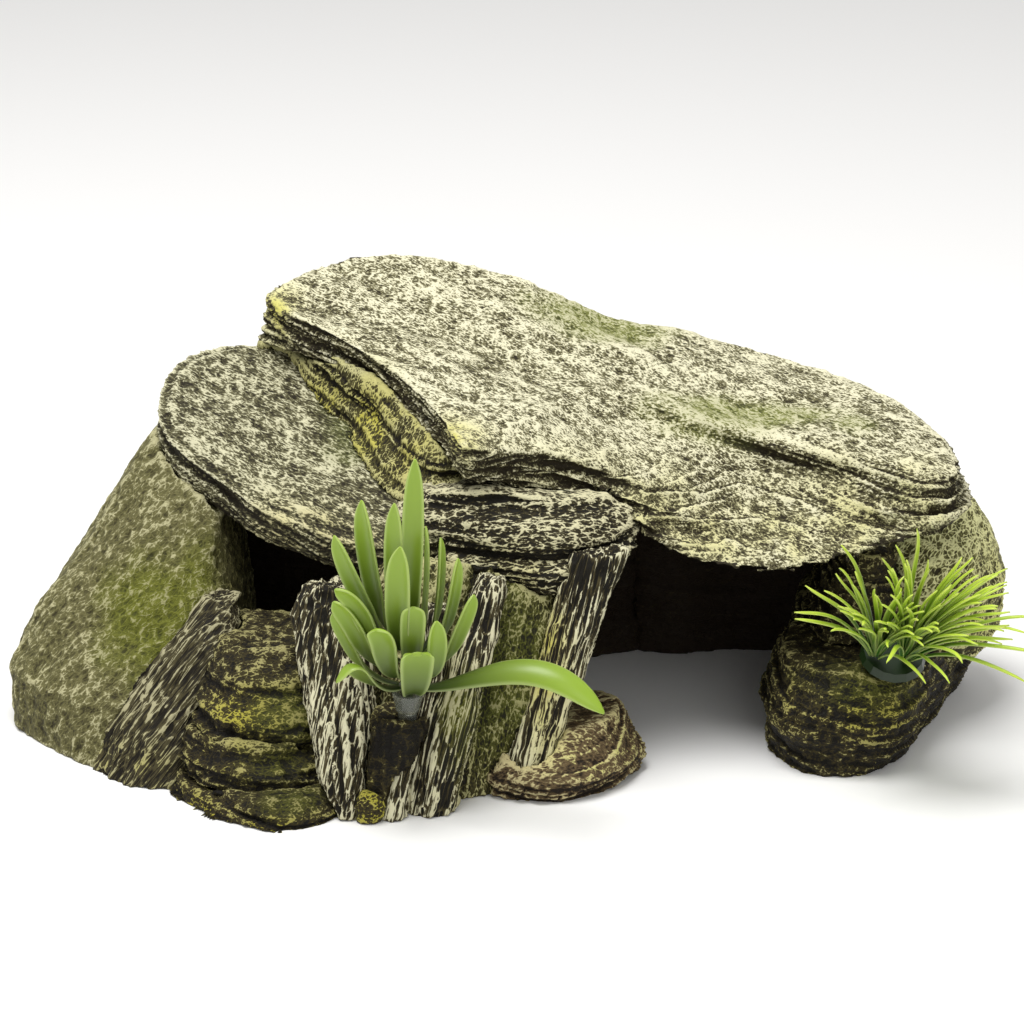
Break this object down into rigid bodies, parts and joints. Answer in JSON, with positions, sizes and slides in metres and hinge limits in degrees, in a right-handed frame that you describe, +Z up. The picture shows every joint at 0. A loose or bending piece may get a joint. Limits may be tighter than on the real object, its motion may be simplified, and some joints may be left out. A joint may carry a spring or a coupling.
{
  "type": "cave ornament",
  "caption": "Stacked painted rock slabs form a low cave with open doorways and plastic plants, for a pond, aquarium or terrarium floor.",
  "frame": {"origin": "on the floor, under the middle of the whole box", "axes": "+X to the right along the length, +Y to the back, +Z up from the floor"},
  "size_m": [0.2512, 0.136, 0.1029],
  "materials": {
    "cream_rock": "matt painted polyresin, cream dry brushed over grey brown",
    "khaki_rock": "matt painted polyresin, khaki with green moss",
    "dark_rock": "satin painted polyresin, dark brown with cream grain lines",
    "moss_rock": "satin painted polyresin, olive with yellow edges",
    "ochre_rock": "satin painted polyresin, ochre streaks on brown",
    "brown_rock": "matt painted polyresin, plain brown",
    "clear_plastic": "clear moulded polyethylene",
    "leaf_plastic": "satin moulded polyethylene",
    "grass_plastic": "satin moulded polyethylene",
    "grass_root_plastic": "satin moulded polyethylene"
  },
  "bodies": {
    "rockwork": {"cap_slab": "cream_rock", "step_slab": "cream_rock", "neck_block": "moss_rock", "lintel_slab": "ochre_rock", "left_boulder": "khaki_rock", "left_buttress": "dark_rock", "ledge_upper": "moss_rock", "ledge_middle": "moss_rock", "ledge_apron": "moss_rock", "splinter_shard": "dark_rock", "pillar_core": "moss_rock", "pillar_column": "ochre_rock", "pillar_rib": "ochre_rock", "pillar_blade": "dark_rock", "plant_pedestal": "dark_rock", "base_cobble": "ochre_rock", "pillar_foot": "brown_rock", "right_boulder": "khaki_rock", "right_leg": "dark_rock", "right_post": "dark_rock", "back_wall_left": "brown_rock", "back_wall_middle": "brown_rock", "back_wall_right": "brown_rock"},
    "broadleaf_plug": {"broadleaf_plug": "clear_plastic"},
    "broadleaf_crown": {"broadleaf_stem": "leaf_plastic", "leaf_whorl_1": "leaf_plastic", "leaf_whorl_2": "leaf_plastic", "leaf_whorl_3": "leaf_plastic", "leaf_whorl_4": "leaf_plastic", "leaf_whorl_5": "leaf_plastic"},
    "grass_plug": {"grass_plug": "grass_root_plastic"},
    "grass_crown": {"grass_base": "grass_root_plastic", "grass_tuft_left": "grass_plastic", "grass_tuft_right": "grass_plastic"}
  },
  "joints": [
    {"name": "broadleaf_pull", "type": "slide", "parent": "rockwork", "child": "broadleaf_plug", "axis": [0.0399, -0.1497, 0.9879], "range_m": [0, 0.025]},
    {"name": "broadleaf_turn", "type": "hinge", "parent": "broadleaf_plug", "child": "broadleaf_crown", "pos_m": [-0.02547, -0.04924, 0.024], "axis": [0.0399, -0.1497, 0.9879], "range_deg": [-30, 25]},
    {"name": "grass_pull", "type": "slide", "parent": "rockwork", "child": "grass_plug", "axis": [0.1002, -0.4208, 0.9016], "range_m": [0, 0.025]},
    {"name": "grass_turn", "type": "hinge", "parent": "grass_plug", "child": "grass_crown", "pos_m": [0.09003, -0.02374, 0.026], "axis": [0.1002, -0.4208, 0.9016], "range_deg": [-10, 45]}
  ]
}
